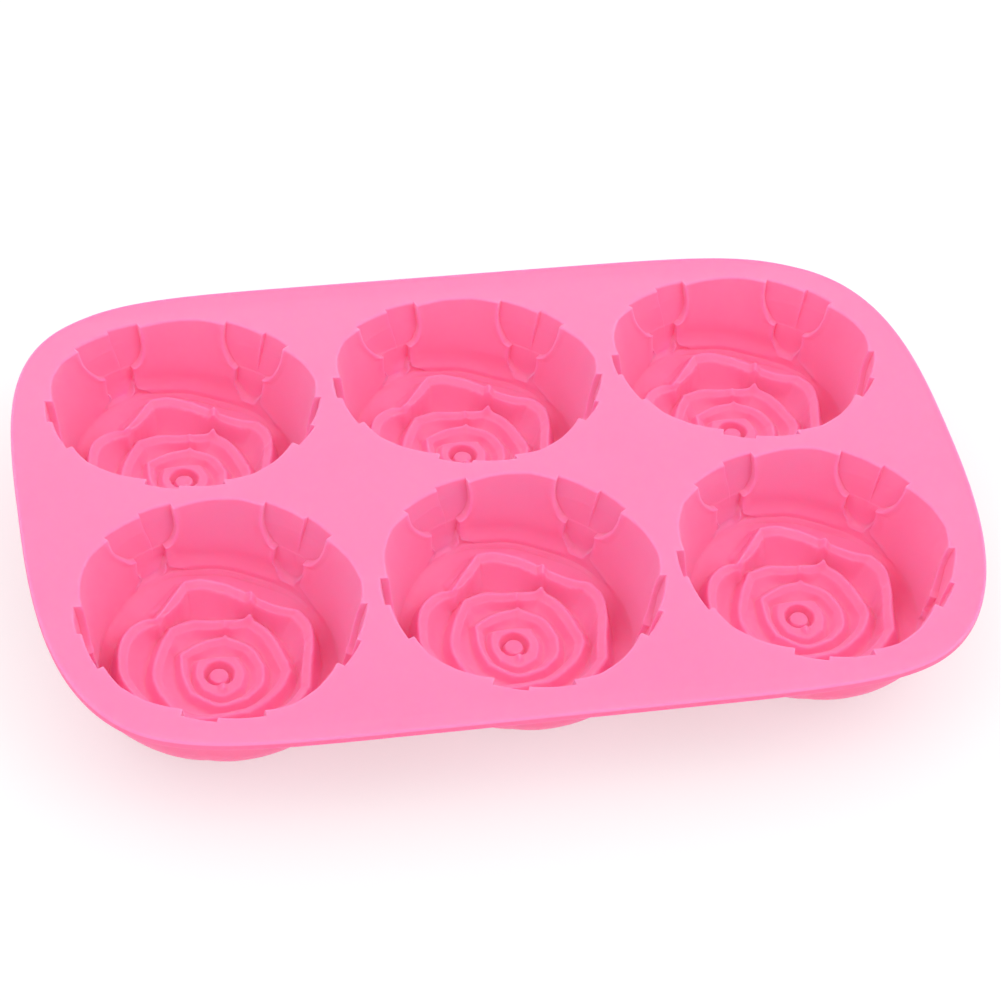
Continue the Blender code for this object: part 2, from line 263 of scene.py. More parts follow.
def sunk(depth):
    """How far each column lies outside the plain wall, at each column's own depth."""
    low0, high0 = sepal_sides(0.0)
    inside = (PLACES > -low0) & (PLACES < high0)
    at_mouth = np.clip(1.0 - depth / MOUTH_FADE, 0.0, 1.0)
    petal = np.interp(PLACES, *np.array(PETAL_EDGE).T) * at_mouth
    step = LEAF_STEP * smooth((LEAF_STEP_TO - depth) / LEAF_STEP_EASE)
    leaf = np.where(PLACES < LEAF_LINE, SEPAL_DEEP, SEPAL_DEEP - step)
    lobe = smooth((depth - NOTCH + NOTCH_LEAD) / NOTCH_EASE)
    deep = lerp(leaf, SEPAL_DEEP - LOBE_RAISED, lobe)
    deep = deep - CREASE_TALL * rib(depth, CREASE_DEPTH + CREASE_SLANT * PLACES, CREASE_HALF)
    deep = lerp(deep, np.interp(PLACES, *np.array(LEAF_EDGE).T), at_mouth ** 1.5)
    ends = smooth((tip_depth() - depth) / TIP_EASE + 0.5)
    return np.where(inside, deep * ends, petal)


def bead(depth):
    """The thin raised line on the wall beside a sepal, thicker at the nick in its side."""
    low0, high0 = sepal_sides(0.0)
    beyond = np.maximum(-low0 - PLACES, PLACES - high0)
    fade = smooth((BEAD_TO - depth) / BEAD_TO_EASE) * smooth(depth / BEAD_TOP_EASE)
    line = BEAD_TALL * fade * rib(beyond, BEAD_AT, BEAD_HALF)
    nick = NICK_TALL * rib(depth, NICK_DEPTH, NICK_HALF_DEPTH) * rib(beyond, NICK_AT, NICK_HALF)
    under = UNDER_TIP_TALL * rib(depth, tip_depth() + UNDER_TIP, UNDER_TIP) * (beyond < 0.0)
    return line + nick + under


def seam(depth):
    """The step on the wall that runs on down from the clockwise side of a sepal."""
    past = PLACES + sepal_sides(0.0)[0]
    ends = smooth((depth - SEAM_FROM) / SEAM_FROM_EASE) * smooth((SEAM_TO - depth) / SEAM_TO_EASE)
    back = SEAM_OUT * np.exp(-past / SEAM_OUT_FADE)
    proud = -SEAM_IN * np.exp(past / SEAM_IN_FADE)
    return np.where(past > 0.0, back, proud) * ends


# ---------------------------------------------------------------- rose floor
# Each crest is a closed line round the rose: its petals, as plan points from corner to corner.
BUD = (
    ((0.130, 0.122), (0.000, 0.130), (-0.130, 0.122)),
    ((-0.130, 0.122), (-0.156, -0.010), (-0.122, -0.140)),
    ((-0.122, -0.140), (0.000, -0.205), (0.132, -0.142)),
    ((0.132, -0.142), (0.166, -0.010), (0.130, 0.122)))
INNER = (
    ((0.312, 0.000), (0.245, 0.175), (0.080, 0.292)),
    ((0.080, 0.292), (-0.090, 0.262), (-0.250, 0.175)),
    ((-0.250, 0.175), (-0.256, -0.020), (-0.222, -0.182)),
    ((-0.222, -0.182), (-0.040, -0.315), (0.162, -0.272)),
    ((0.162, -0.272), (0.280, -0.160), (0.312, 0.000)))
MIDDLE = (
    ((0.272, 0.404), (0.155, 0.402), (0.000, 0.412), (-0.145, 0.430), (-0.300, 0.388)),
    ((-0.300, 0.388), (-0.385, 0.230), (-0.445, 0.075), (-0.465, -0.065), (-0.435, -0.205)),
    ((-0.435, -0.205), (-0.340, -0.370), (-0.180, -0.450), (0.150, -0.430)),
    ((0.150, -0.430), (0.270, -0.365), (0.410, -0.240), (0.485, -0.100)),
    ((0.485, -0.100), (0.475, -0.030), (0.440, 0.125), (0.372, 0.290), (0.272, 0.404)))
OUTER = (
    ((0.300, 0.520), (0.130, 0.612), (-0.040, 0.662), (-0.165, 0.665)),
    ((-0.165, 0.665), (-0.280, 0.530), (-0.400, 0.395)),
    ((-0.400, 0.395), (-0.490, 0.390), (-0.580, 0.325), (-0.665, 0.200), (-0.705, 0.020),
     (-0.690, -0.150), (-0.550, -0.400)),
    ((-0.550, -0.400), (-0.360, -0.590), (-0.120, -0.670), (0.160, -0.600)),
    ((0.160, -0.600), (0.320, -0.590), (0.470, -0.490), (0.585, -0.360)),
    ((0.585, -0.360), (0.625, -0.150), (0.665, 0.020), (0.672, 0.200), (0.605, 0.330)),
    ((0.605, 0.330), (0.440, 0.415), (0.300, 0.520)))
BUD_AT = (0.770, 0.815)      # depth of the crest, and of the valley just outside it
INNER_AT = (0.740, 0.800)
MIDDLE_AT = (0.695, 0.770)
DOT_R = 0.074
DOT_DEPTH = 0.795
DOT_CROWN = 0.014            # its edge is this much deeper than its middle
DOT_EDGE = 0.84              # where its side starts to fall, in dot radii
DOT_SIDE = 0.26
MOAT_FROM = 1.16             # the moat's bottom, in dot radii
MOAT_DEPTH = 0.858
MOAT_BANK = 0.030            # width of the moat's outer bank
DOT_ROWS = (0.16, 0.33, 0.50, 0.65, 0.78, 0.86, 0.92, 0.97, 1.02, 1.09, MOAT_FROM)
BUD_ROWS = 12
BUD_SLOPE = 0.010            # the bud's face is this much deeper beside the moat


def spline(points, steps=20):
    """A smooth line through the points."""
    p = np.array(points)
    p = np.vstack((2.0 * p[0] - p[1], p, 2.0 * p[-1] - p[-2]))
    t = np.linspace(0.0, 1.0, steps, endpoint=False)[:, None]
    line = []
    for a, b, c, d in zip(p, p[1:], p[2:], p[3:]):
        bend = (2.0 * a - 5.0 * b + 4.0 * c - d) * t ** 2 + (3.0 * b - a - 3.0 * c + d) * t ** 3
        line.append(0.5 * (2.0 * b + (c - a) * t + bend))
    return np.vstack(line)


def crest_line(petals, angles):
    """Radius of a closed crest in each direction, in degrees."""
    line = np.vstack([spline(petal) for petal in petals])
    where = np.degrees(np.arctan2(line[:, 1], line[:, 0])) % 360.0
    order = np.argsort(where)
    return np.interp(np.asarray(angles) % 360.0, where[order], np.hypot(*line.T)[order], period=360.0)


def around(points, angles):
    """A value given at a few directions, smooth in between."""
    at = np.array([p[0] for p in points])
    value = np.array([p[1] for p in points])
    turned = (np.asarray(angles) - at[0]) % 360.0 + at[0]
    at = np.append(at, at[0] + 360.0)
    value = np.append(value, value[0])
    k = np.clip(np.searchsorted(at, turned, side="right") - 1, 0, len(at) - 2)
    t = smooth((turned - at[k]) / (at[k + 1] - at[k]))
    return lerp(value[k], value[k + 1], t)


OUTER_CREST = ((0.0, 0.570), (28.0, 0.560), (42.0, 0.575), (60.0, 0.580), (70.0, 0.555), (80.0, 0.535),
               (95.0, 0.515), (104.0, 0.525), (136.0, 0.590), (165.0, 0.545), (215.0, 0.590),
               (250.0, 0.570), (285.0, 0.600), (328.0, 0.580))
GROOVE = ((5.0, 0.830), (30.0, 0.710), (45.0, 0.680), (58.0, 0.680), (80.0, 0.625), (104.0, 0.615),
          (125.0, 0.655), (150.0, 0.710), (178.0, 0.830), (205.0, 0.720), (232.0, 0.670), (296.0, 0.670),
          (335.0, 0.730))
FOLD = ((0.0, 0.640), (30.0, 0.660), (60.0, 0.670), (90.0, 0.625), (107.0, 0.590), (120.0, 0.600),
        (150.0, 0.630), (200.0, 0.630), (235.0, 0.600), (295.0, 0.600))
FOOT_DROP = 0.075            # width of the fall from the outer crest into the groove
FOOT_ROWS = 24
FOLD_LIP = 0.030             # the fold's face ends this much below it
FOLD_DROP = 0.070
FOLD_RISE = 0.030
# how far the fold stands proud of the wall, round the cup
FOLD_PROUD = ((10.0, 0.0), (40.0, 0.3), (60.0, 1.0), (105.0, 1.0), (122.0, 0.3), (150.0, 0.0))


# the widest each part of a petal's face may be, as a share of the whole, and the face's curve
VALLEY_SHARE = 0.50
DROP_SHARE = 0.45
RISE_SHARE = 0.38
FACE_POWER = 1.5
FOOT_SHARE = 0.50
FOOT_START = 0.6             # the groove starts at this share of the fall


def band(t, width, crest_in, crest_out, valley, shoulder, drop, rise):
    """Depth across the floor from one crest to the next, as a petal's face.

    It falls off the inner crest, climbs as the petal's hollow face and ends in a rounded rib.
    """
    d = t * width
    valley = np.minimum(valley, np.maximum(crest_in, crest_out) + VALLEY_SHARE * width)
    drop = np.minimum(drop, DROP_SHARE * width)
    rise = np.minimum(rise, RISE_SHARE * width)
    fall = smooth(d / drop)
    face = np.clip((d - drop) / np.maximum(width - drop - rise, 1e-6), 0.0, 1.0)
    kick = smooth((d - width + rise) / rise)
    slope = valley + (shoulder - valley) * face ** FACE_POWER
    depth = lerp(crest_in, slope, fall)
    return lerp(depth, crest_out, kick)


def wall_foot(t, width, crest, fold, groove):
    """Depth from the outermost crest down into the groove and round up into the wall."""
    d = t * width
    drop = np.minimum(FOOT_DROP, FOOT_SHARE * width)
    start = FOOT_START * drop
    u = np.clip((d - start) / (width - start), 0.0, 1.0)
    hollowed = groove + (fold - groove) * (1.0 - np.sqrt(1.0 - u * u))
    return lerp(crest, hollowed, smooth(d / drop))


EVEN = SEPAL_START - HALF_PERIOD + np.arange(SECTORS) * 360.0 / SECTORS


def floor_rows():
    """Rows of (angle, radius, depth, columns kept) from the dot out to the fold at the wall."""
    rows = []
    bud = crest_line(BUD, EVEN)
    inner = crest_line(INNER, EVEN)
    middle = crest_line(MIDDLE, EVEN)
    outer = crest_line(OUTER, EVEN)
    for share in DOT_ROWS:
        dome = DOT_DEPTH + DOT_CROWN * min(share, 1.0) ** 2
        depth = lerp(dome, MOAT_DEPTH, float(smooth((share - DOT_EDGE) / DOT_SIDE)))
        rows.append((EVEN, np.full(SECTORS, share * DOT_R), np.full(SECTORS, depth), 4))
    moat = MOAT_FROM * DOT_R
    for t in np.linspace(0.0, 1.0, BUD_ROWS + 1)[1:]:
        r = lerp(moat, bud, t)
        near = BUD_AT[0] + BUD_SLOPE * (1.0 - t)
        rows.append((EVEN, r, lerp(MOAT_DEPTH, near, smooth((r - moat) / MOAT_BANK)), 4))
    # inner and outer crest, depths of the inner crest and its valley, depth of the outer crest,
    # how far below that the face ends, rows, columns kept, widths of the fall and of the rib
    petal_bands = (
        (bud, inner, BUD_AT, INNER_AT[0], 0.026, 15, 4, 0.050, 0.044),
        (inner, middle, INNER_AT, MIDDLE_AT[0], 0.030, 20, 2, 0.056, 0.054),
        (middle, outer, MIDDLE_AT, None, 0.034, 26, 1, 0.068, 0.060))
    for near, far, (crest, valley), next_crest, under, count, keep, drop, rise in petal_bands:
        width = far - near
        ahead = around(OUTER_CREST, EVEN) if next_crest is None else next_crest
        for t in np.linspace(0.0, 1.0, count + 1)[1:]:
            depth = band(t, width, crest, ahead, valley, ahead + under, drop, rise)
            rows.append((EVEN, lerp(near, far, t), depth, keep))
    fold = around(FOLD, EVEN)
    fold_r = WALL_TOP_R - DRAFT * fold
    groove = around(GROOVE, EVEN)
    proud = around(FOLD_PROUD, EVEN)
    crest = around(OUTER_CREST, EVEN)
    width = fold_r - outer
    for turn in np.linspace(0.0, math.pi / 2.0, FOOT_ROWS + 1)[1:]:
        t = math.sin(turn)
        folded = band(t, width, crest, fold, groove, fold + FOLD_LIP, FOLD_DROP, FOLD_RISE)
        depth = lerp(wall_foot(t, width, crest, fold, groove), folded, proud)
        rows.append((EVEN, lerp(outer, fold_r, t), depth, 1))
    return rows


WALL_KNEE = 0.45             # rows above this depth are level
WALL_EVEN = 0.60             # below this depth the columns ease back to even steps
WALL_LOW = 0.74
RIM_ROUND = 0.018            # radius of the mouth's rounded edge
RIM_STEPS = 4
# bands of rows up the wall: from, to, rows
WALL_BANDS = (
    (WALL_LOW, WALL_EVEN, 8), (WALL_EVEN, 0.46, 15), (0.46, 0.38, 4), (0.38, 0.33, 10),
    (0.33, RIM_ROUND, 21))
# the swelling above the wall's foot and the hollow above that: size, height, half height
SWELL = 0.009
SWELL_AT = 0.035
SWELL_HALF = 0.030
HOLLOW = 0.014
HOLLOW_AT = 0.125
HOLLOW_HALF = 0.070
SWELL_EASE = 0.05


def hollow(angle, height):
    """The wall's swelling fold just above its foot, and the hollow above that."""
    proud = around(FOLD_PROUD, angle) * smooth(height / SWELL_EASE)
    return proud * (HOLLOW * rib(height, HOLLOW_AT, HOLLOW_HALF)
                    - SWELL * rib(height, SWELL_AT, SWELL_HALF))


def wall_rows():
    """Rows up the wall from the fold to the mouth's rounded edge."""
    nominal = np.concatenate([np.linspace(low, high, rows + 1)[1:] for low, high, rows in WALL_BANDS])
    rows = []
    for level in nominal:
        relax = float(smooth((level - WALL_EVEN) / (WALL_LOW - WALL_EVEN)))
        lean = LEANS * smooth(level / LEAN_DEPTH)
        angle = lerp(MIDDLES + squeezed(level) + lean, EVEN, relax)
        fold = around(FOLD, angle)
        depth = np.full(SECTORS, level)
        if level > WALL_KNEE:
            depth = WALL_KNEE + (level - WALL_KNEE) * (fold - WALL_KNEE) / (WALL_LOW - WALL_KNEE)
        radius = WALL_TOP_R - DRAFT * depth + sunk(depth) - bead(depth) + seam(depth)
        rows.append((angle, radius + hollow(angle, fold - depth), depth, 1))
    return rows


# small ridges on the rose: from and to in plan, height and half width
RIDGES = (
    ((0.010, -0.085), (0.010, -0.150), 0.030, 0.022),
    ((0.082, 0.300), (0.090, 0.400), 0.016, 0.014),
    ((0.272, 0.412), (0.296, 0.520), 0.044, 0.026),
    ((-0.215, 0.690), (-0.410, 0.500), 0.022, 0.018),
    ((-0.250, 0.470), (0.180, 0.450), 0.010, 0.012),
    ((-0.290, 0.440), (-0.385, 0.400), 0.018, 0.016),
    ((0.485, -0.030), (0.640, 0.060), 0.012, 0.020))


def bumps(x, y):
    """Height of the small ridges, to take off the depth."""
    height = np.zeros_like(x)
    for (x0, y0), (x1, y1), tall, half in RIDGES:
        run = (x1 - x0) ** 2 + (y1 - y0) ** 2
        t = np.clip(((x - x0) * (x1 - x0) + (y - y0) * (y1 - y0)) / run, 0.0, 1.0)
        off = np.hypot(x - x0 - t * (x1 - x0), y - y0 - t * (y1 - y0))
        height = np.maximum(height, tall * np.exp(-(off / half) ** 2))
    return height


def rim_rows(last):
    """The rounded edge of the mouth, from the wall's last row out onto the deck."""
    angle, radius, depth, _ = last
    rows = []
    for turn in np.linspace(0.0, math.pi / 2.0, RIM_STEPS + 1)[1:]:
        out = RIM_ROUND * (1.0 - math.cos(turn))
        up = RIM_ROUND * (1.0 - math.sin(turn))
        rows.append((angle, radius + out, np.full(SECTORS, up), 1))
    return rows


# ---------------------------------------------------------------- one cup and its share of the deck
FOLLOW_FROM = 0.07           # depth down to which a cup follows the deck's crown
FOLLOW_EASE = 0.30


def cup_frame(x, y):
    """A cup's own frame: it hangs square to the crowned deck."""
    lean = math.atan(-y / BEND_RADIUS)
    return Matrix.Translation((x, y, DECK_TOP + droop(y))) @ Matrix.Rotation(lean, 4, "X")


def to_world(frame_matrix, angle, radius, depth):
    """World places of a row given in the cup's own mouth radii."""
    turn = np.radians(angle)
    x = radius * np.cos(turn) * MOUTH_R
    y = radius * np.sin(turn) * MOUTH_R
    follow = np.clip(1.0 - (depth - FOLLOW_FROM) / FOLLOW_EASE, 0.0, 1.0)
    z = -depth * MOUTH_R + droop(y) * follow
    m = np.array(frame_matrix)
    return np.column_stack((x, y, z)) @ m[:3, :3].T + m[:3, 3]


def inner_rows():
    """Rows of the whole cavity, from the dot out to the mouth."""
    rows = floor_rows() + wall_rows()
    rows += rim_rows(rows[-1])
    shaped = []
    for angle, radius, depth, keep in rows:
        turn = np.radians(angle)
        depth = depth - bumps(radius * np.cos(turn), radius * np.sin(turn))
        shaped.append((angle[::keep], radius[::keep], depth[::keep]))
    return shaped


CORNER_REACH = 12.0          # degrees over which columns are drawn to a patch's corner


def patch_edge(x, y):
    """Where this cup's share of the deck ends, and which of those points lie on the inset outline."""
    step = 360.0 / SECTORS
    angle = round(EVEN[0] / step) * step + np.arange(SECTORS) * step
    side = 1.0 if y > 0.0 else -1.0
    half = PITCH / 2.0
    far = INSET[(np.sign(INSET[:, 1]) == side) & (INSET[:, 0] > 0.0)]
    far = far[np.argsort(far[:, 0])]
    corner = math.degrees(math.atan2(abs(np.interp(half, far[:, 0], far[:, 1])) - half, half))
    end = math.degrees(math.atan2(half, HALF_LENGTH - EDGE_BAND - PITCH))
    turns = [(45.0, corner), (135.0, 180.0 - corner)]
    if x > half:
        turns.append((-45.0, -end))
    if x < -half:
        turns.append((-135.0, end - 180.0))
    for aim, hit in turns:
        off = (angle * side - aim + 180.0) % 360.0 - 180.0
        angle = angle + side * (hit - aim) * np.clip(1.0 - np.abs(off) / CORNER_REACH, 0.0, 1.0)
    turn = np.radians(angle)
    c = np.cos(turn)
    s = np.sin(turn)
    cell = np.full(SECTORS, 1.0)
    with np.errstate(divide="ignore"):
        if x > -PITCH / 2.0:
            cell = np.where(c < -1e-9, np.minimum(cell, -half / c), cell)
        if x < PITCH / 2.0:
            cell = np.where(c > 1e-9, np.minimum(cell, half / c), cell)
        cell = np.where(s * side < -1e-9, np.minimum(cell, -half / (s * side)), cell)
    rel = INSET - np.array((x, y))
    where = np.degrees(np.arctan2(rel[:, 1], rel[:, 0])) % 360.0
    order = np.argsort(where)
    reach = np.interp(angle % 360.0, where[order], np.hypot(*rel.T)[order], period=360.0)
    on_edge = reach < cell + 1e-4
    distance = np.where(reach < cell - 1e-4, reach, cell)
    normals = outward_normals(INSET)
    nx = np.interp(angle % 360.0, where[order], normals[order, 0], period=360.0)
    ny = np.interp(angle % 360.0, where[order], normals[order, 1], period=360.0)
    points = np.column_stack((x + distance * c, y + distance * s))
    return points, on_edge, np.column_stack((nx, ny))


# outward from the inset outline and down from the deck's top, once round the edge
EDGE_SECTION = (
    (0.00120, -0.00004), (0.00240, -0.00010), (0.00360, -0.00018), (0.00460, -0.00030),
    (0.00505, -0.00042), (0.00530, -0.00048), (0.00548, -0.00050), (0.00564, -0.00046),
    (0.00580, -0.00034), (0.00592, -0.00018), (0.00600, 0.00010), (0.00600, 0.00060),
    (0.00600, 0.00120), (0.00596, 0.00146), (0.00584, 0.00162), (0.00565, 0.00170),
    (0.00540, 0.00172), (0.00480, 0.00182), (0.00360, 0.00198), (0.00180, 0.00214))


CAVITY_FLOOR_R = 0.90        # the cavity's points nearer and deeper than these shape the underside
CAVITY_FLOOR_FROM = 0.45
UNDER_RADII = (0.80, 0.02, 36)    # from, to and number of the underside's rings
UNDER_KEEP = 2               # the underside has this many times fewer columns


def under_offset(rows):
    """The rose's underside, one skin's thickness outside the cavity everywhere (ball offset)."""
    skin = SKIN / MOUTH_R
    cloud = []
    for angle, radius, depth in rows:
        keep = radius < CAVITY_FLOOR_R
        turn = np.radians(angle[keep])
        cloud.append(np.column_stack((radius[keep] * np.cos(turn), radius[keep] * np.sin(turn), depth[keep])))
    cloud = np.vstack(cloud)
    cloud = cloud[cloud[:, 2] > CAVITY_FLOOR_FROM]
    angles = EVEN[::UNDER_KEEP]
    radii = np.linspace(*UNDER_RADII)
    found = []
    for r in radii:
        turn = np.radians(angles)
        px = r * np.cos(turn)
        py = r * np.sin(turn)
        depth = np.zeros(len(angles))
        for i in range(len(angles)):
            gap2 = (cloud[:, 0] - px[i]) ** 2 + (cloud[:, 1] - py[i]) ** 2
            near = gap2 < skin * skin
            depth[i] = np.max(cloud[near, 2] + np.sqrt(skin * skin - gap2[near])) if near.any() else 0.0
        found.append(depth)
    return angles, radii, found


UNDER_LOBE = 0.040           # how far the petals' outsides stand out under the deck
UNDER_CUSP = 258.0           # degrees, where two of them meet
DECK_STEPS = (0.05, 0.13, 0.26, 0.45, 0.70, 1.0)
UNDER_ROUND = 0.012          # the fillet between a cup's outside and the deck
UNDER_ROUND_STEPS = 3
OUTSIDE_ROWS = 13
LOBE_FROM = 0.12             # depth where the petals' outsides start to stand out
LOBE_EASE = 0.30
BELLY_STEPS = 8
FOOT_R = 0.50                # the underside levels out to the foot from this radius in
FOOT_EASE = 0.10
FOOT_COARSE_R = 0.20
FOOT_COARSE_KEEP = 4
BELLY_FROM = 0.46            # depth where the outside turns in under the wall
BELLY_POWER = 1.4            # 1 is a quarter round, 2 a straight slope


def deck_level(points, down=0.0):
    """These plan points on the deck, this far below its top."""
    return np.column_stack((points, DECK_TOP + droop(points[:, 1]) - down))


def outside_rows(frame_matrix, edge, under):
    """The underside of a cup's share: deck, fillet, wall, belly and flat foot, in world places."""
    thick = DECK_THICK / MOUTH_R
    skin = SKIN / MOUTH_R
    rows = []
    top_r = 1.0 - DRAFT * thick + skin
    start = to_world(frame_matrix, EVEN, np.full(SECTORS, top_r + UNDER_ROUND), np.full(SECTORS, thick))
    for t in DECK_STEPS[-2::-1]:
        rows.append(deck_level(lerp(start[:, :2], edge, t), DECK_THICK))
    rows.append(start)
    for turn in np.linspace(0.0, math.pi / 2.0, UNDER_ROUND_STEPS + 1)[1:]:
        r = top_r + UNDER_ROUND * (1.0 - math.sin(turn))
        d = thick + UNDER_ROUND * (1.0 - math.cos(turn))
        rows.append(to_world(frame_matrix, EVEN, np.full(SECTORS, r), np.full(SECTORS, d)))
    angles, radii, depths = under
    count = len(angles)
    lobes = UNDER_LOBE * np.sqrt(np.abs(np.sin(np.radians(angles - UNDER_CUSP) * SEPALS / 2.0)))
    for d in np.linspace(thick + UNDER_ROUND, BELLY_FROM, OUTSIDE_ROWS + 1)[1:]:
        r = 1.0 - DRAFT * d + skin + lobes * float(smooth((d - LOBE_FROM) / LOBE_EASE))
        rows.append(to_world(frame_matrix, angles, r, np.full(count, d)))
    belly_r = 1.0 - DRAFT * BELLY_FROM + skin + lobes
    for turn in np.linspace(0.0, math.pi / 2.0, BELLY_STEPS + 1)[1:-1]:
        r = radii[0] + (belly_r - radii[0]) * math.cos(turn) ** BELLY_POWER
        d = BELLY_FROM + (depths[0] - BELLY_FROM) * math.sin(turn) ** BELLY_POWER
        rows.append(to_world(frame_matrix, angles, np.full(count, r), d))
    for r, d in zip(radii, depths):
        row = to_world(frame_matrix, angles, np.full(count, r), d)
        row[:, 2] = np.maximum(row[:, 2] * (1.0 - float(smooth((FOOT_R - r) / FOOT_EASE))), 0.0)
        rows.append(row[::FOOT_COARSE_KEEP] if r < FOOT_COARSE_R else row)
    return rows


class Shell:
    """Rows of points sewn into one surface."""

    def __init__(self):
        self.points = []
        self.faces = []
        self.seams = []
        # how much painted shade each point gets: 1 on the edge face below the rim and on the underside
        self.outer = []
        self.count = 0

    def add(self, places, outer=0.0):
        """A row of points, each marked with how much it belongs to the outside, which sets how much painted
        shade its colour gets.
        """
        index = np.arange(self.count, self.count + len(places))
        self.points.append(places)
        self.outer.append(np.full(len(places), outer))
        self.count += len(places)
        return index

    def sew(self, near, far, chosen=None):
        """Faces between two rows; one may have two or four times the other's points."""
        a, b = len(near), len(far)
        least = min(a, b)
        for i in range(least):
            if chosen is not None and not chosen[i]:
                continue
            near_part = [near[k % a] for k in range(i * a // least, (i + 1) * a // least + 1)]
            far_part = [far[k % b] for k in range(i * b // least, (i + 1) * b // least + 1)]
            self.faces.append([near_part[0]] + far_part + near_part[:0:-1])

    def fan(self, centre, ring, facing_up):
        """Faces from a ring to the point in its middle."""
        n = len(ring)
        for i in range(n):
            j = (i + 1) % n
            pair = [ring[i], ring[j]] if facing_up else [ring[j], ring[i]]
            self.faces.append([centre] + pair)


def add_cup(shell, x, y, inside, under):
    """One cup with its share of the deck, the edge beside it and its underside."""
    hang = cup_frame(x, y)
    edge, on_edge, outwards = patch_edge(x, y)
    rows = [shell.add(to_world(hang, *row)) for row in inside]
    centre = shell.add(to_world(hang, np.zeros(1), np.zeros(1), np.full(1, DOT_DEPTH)))
    shell.fan(centre[0], rows[0], True)
    rim = to_world(hang, *inside[-1])[:, :2]
    for t in DECK_STEPS:
        rows.append(shell.add(deck_level(lerp(rim, edge, t))))
    for near, far in zip(rows, rows[1:]):
        shell.sew(near, far)
    shell.seams.append(rows[-1])
    both = on_edge & np.roll(on_edge, -1)
    used = both | np.roll(both, 1)
    last = rows[-1]
    # the edge face below the rim and the underside are marked for painted shade
    for out, down in EDGE_SECTION:
        places = deck_level(edge + outwards * out, down)
        row = np.full(SECTORS, -1)
        row[used] = shell.add(places[used], float(down > 0.0))
        shell.seams.append(row[used])
        shell.sew(last, row, both)
        last = row
    below = shell.add(deck_level(edge, DECK_THICK), 1.0)
    shell.seams.append(below)
    shell.sew(last, below, both)
    rows = [below] + [shell.add(row, 1.0) for row in outside_rows(hang, edge, under)]
    for near, far in zip(rows, rows[1:]):
        shell.sew(near, far)
    foot = to_world(hang, np.zeros(1), np.zeros(1), np.full(1, under[2][-1].mean()))
    foot[:, 2] = 0.0
    shell.fan(shell.add(foot, 1.0)[0], rows[-1], False)


SEAM_MERGE = 0.00002         # the patches' shared points are this close


def moulding():
    """The whole mould as one closed silicone body."""
    inside = inner_rows()
    under = under_offset(inside)
    shell = Shell()
    for y in CUP_ROWS:
        for x in CUP_COLUMNS:
            add_cup(shell, x * PITCH, y * PITCH, inside, under)
    mesh = bpy.data.meshes.new("silicone_moulding")
    mesh.from_pydata(np.vstack(shell.points).tolist(), [], [[int(v) for v in f] for f in shell.faces])
    # the outside marks go on as an attribute that drives the painted shade in the material
    outer = mesh.attributes.new("painted_shade_weight", "FLOAT", "POINT")
    outer.data.foreach_set("value", np.concatenate(shell.outer))
    work = bmesh.new()
    work.from_mesh(mesh)
    work.verts.ensure_lookup_table()
    seam = [work.verts[i] for i in np.unique(np.concatenate(shell.seams)).tolist()]
    bmesh.ops.remove_doubles(work, verts=seam, dist=SEAM_MERGE)
    open_edges = sum(1 for e in work.edges if len(e.link_faces) != 2)
    print("faces", len(work.faces), "open edges", open_edges)
    work.to_mesh(mesh)
    work.free()
    mesh.shade_smooth()
    piece = bpy.data.objects.new("silicone_moulding", mesh)
    bpy.context.scene.collection.objects.link(piece)
    return piece


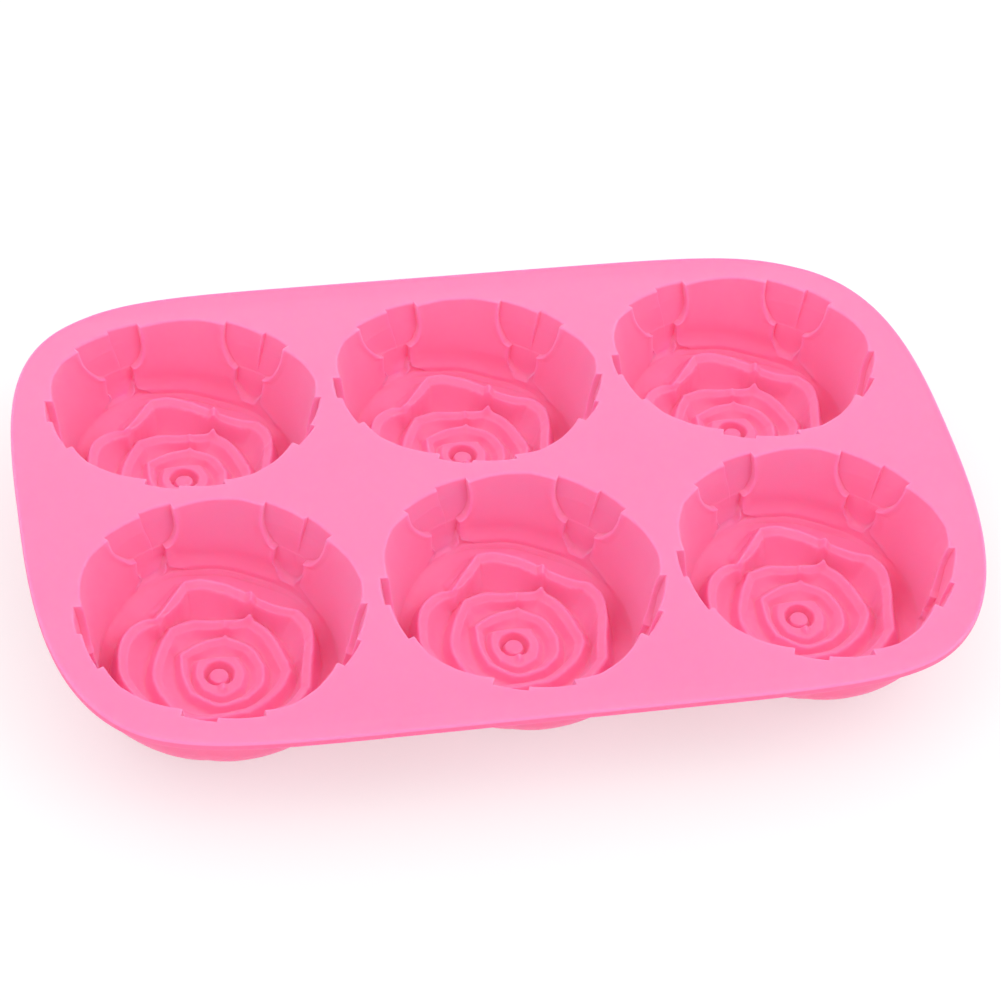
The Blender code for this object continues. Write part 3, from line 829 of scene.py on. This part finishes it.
# ---------------------------------------------------------------- material
def silicone():
    """Translucent pink silicone, cloudy and finely grained, with painted shade: a deeper pink on its outer
    faces, the edge face and underside, where shade falls.
    """
    mat = bpy.data.materials.new("pink_silicone")
    mat.use_nodes = True
    tree = mat.node_tree
    node = tree.nodes.new
    link = tree.links.new
    shader = tree.nodes["Principled BSDF"]
    shader.inputs["Specular IOR Level"].default_value = 0.22
    shader.inputs["IOR"].default_value = 1.41
    shader.inputs["Subsurface Weight"].default_value = 1.00
    shader.inputs["Subsurface Radius"].default_value = (1.0, 0.50, 0.68)
    shader.inputs["Subsurface Scale"].default_value = 0.0030
    place = node("ShaderNodeTexCoord")
    cloud = node("ShaderNodeTexNoise")
    cloud.inputs["Scale"].default_value = 38.0
    cloud.inputs["Detail"].default_value = 3.0
    link(place.outputs["Object"], cloud.inputs["Vector"])
    tint = node("ShaderNodeMix")
    tint.data_type = "RGBA"
    tint.inputs["A"].default_value = (0.995, 0.246, 0.464, 1.0)
    tint.inputs["B"].default_value = (0.996, 0.262, 0.484, 1.0)
    link(cloud.outputs["Fac"], tint.inputs["Factor"])
    # painted shade: the edge face and underside are mixed towards a deeper pink, standing in for the shade
    # they lie in
    side = node("ShaderNodeAttribute")
    side.attribute_name = "painted_shade_weight"
    skin = node("ShaderNodeMix")
    skin.data_type = "RGBA"
    skin.inputs["B"].default_value = (0.880, 0.170, 0.340, 1.0)
    link(side.outputs["Fac"], skin.inputs["Factor"])
    link(tint.outputs["Result"], skin.inputs["A"])
    link(skin.outputs["Result"], shader.inputs["Base Color"])
    satin = node("ShaderNodeTexNoise")
    satin.inputs["Scale"].default_value = 260.0
    satin.inputs["Detail"].default_value = 4.0
    link(place.outputs["Object"], satin.inputs["Vector"])
    gloss = node("ShaderNodeMapRange")
    gloss.inputs["To Min"].default_value = 0.36
    gloss.inputs["To Max"].default_value = 0.50
    link(satin.outputs["Fac"], gloss.inputs["Value"])
    link(gloss.outputs["Result"], shader.inputs["Roughness"])
    grain = node("ShaderNodeTexNoise")
    grain.inputs["Scale"].default_value = 1400.0
    grain.inputs["Detail"].default_value = 2.0
    link(place.outputs["Object"], grain.inputs["Vector"])
    bump = node("ShaderNodeBump")
    bump.inputs["Strength"].default_value = 0.06
    bump.inputs["Distance"].default_value = 0.0002
    link(grain.outputs["Fac"], bump.inputs["Height"])
    link(bump.outputs["Normal"], shader.inputs["Normal"])
    return mat


# ---------------------------------------------------------------- studio
CAMERA_AT = (-4.198, -16.516, 15.882)     # from the deck's middle, in mouth radii
CAMERA_AZIMUTH = -14.48
CAMERA_ELEVATION = 43.58
CAMERA_ROLL = 4.98
CAMERA_LENS = 115.65


def camera():
    """The camera that sets the picture."""
    data = bpy.data.cameras.new("camera")
    data.sensor_width = 36.0
    data.lens = CAMERA_LENS
    data.clip_start = 0.01
    cam = bpy.data.objects.new("camera", data)
    cam.location = Vector(CAMERA_AT) * MOUTH_R + Vector((0.0, 0.0, DECK_TOP))
    turn = Matrix.Rotation(math.radians(CAMERA_AZIMUTH), 4, "Z")
    tip = Matrix.Rotation(math.radians(90.0 - CAMERA_ELEVATION), 4, "X")
    roll = Matrix.Rotation(math.radians(CAMERA_ROLL), 4, "Z")
    cam.rotation_euler = (turn @ tip @ roll).to_euler()
    bpy.context.scene.collection.objects.link(cam)
    bpy.context.scene.camera = cam


LIGHT_SIZE = 1.0


def area_light(name, place, power):
    """A round soft light that faces the middle of the floor."""
    data = bpy.data.lights.new(name, "AREA")
    data.shape = "DISK"
    data.size = LIGHT_SIZE
    data.energy = power
    lamp = bpy.data.objects.new(name, data)
    lamp.location = place
    lamp.rotation_euler = (-Vector(place)).to_track_quat("-Z", "Y").to_euler()
    bpy.context.scene.collection.objects.link(lamp)


FLOOR_SIZE = 6.0
FLOOR_DOWN = 0.0002          # the floor lies this much under the feet


def studio():
    """A pale floor, an even bright surround and two soft lights."""
    bpy.ops.mesh.primitive_plane_add(size=FLOOR_SIZE, location=(0.0, 0.0, -FLOOR_DOWN))
    floor = bpy.context.object
    floor.name = "floor"
    mat = bpy.data.materials.new("paper")
    mat.use_nodes = True
    shader = mat.node_tree.nodes["Principled BSDF"]
    shader.inputs["Base Color"].default_value = (0.50, 0.50, 0.50, 1.0)
    shader.inputs["Emission Color"].default_value = (1.0, 1.0, 1.0, 1.0)
    shader.inputs["Emission Strength"].default_value = 0.50
    shader.inputs["Roughness"].default_value = 0.9
    shader.inputs["Specular IOR Level"].default_value = 0.1
    floor.data.materials.append(mat)
    world = bpy.data.worlds.new("studio")
    world.use_nodes = True
    world.node_tree.nodes["Background"].inputs["Color"].default_value = (1.0, 1.0, 1.0, 1.0)
    world.node_tree.nodes["Background"].inputs["Strength"].default_value = 1.04
    bpy.context.scene.world = world
    bpy.context.scene.view_settings.view_transform = "Standard"
    bpy.context.scene.view_settings.look = "None"
    area_light("key", (0.7, -0.5, 1.2), 2.2)
    area_light("fill", (-0.5, -0.3, 1.3), 1.0)


camera()
studio()
mould = moulding()
mould.data.materials.append(silicone())
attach(mould, "root")
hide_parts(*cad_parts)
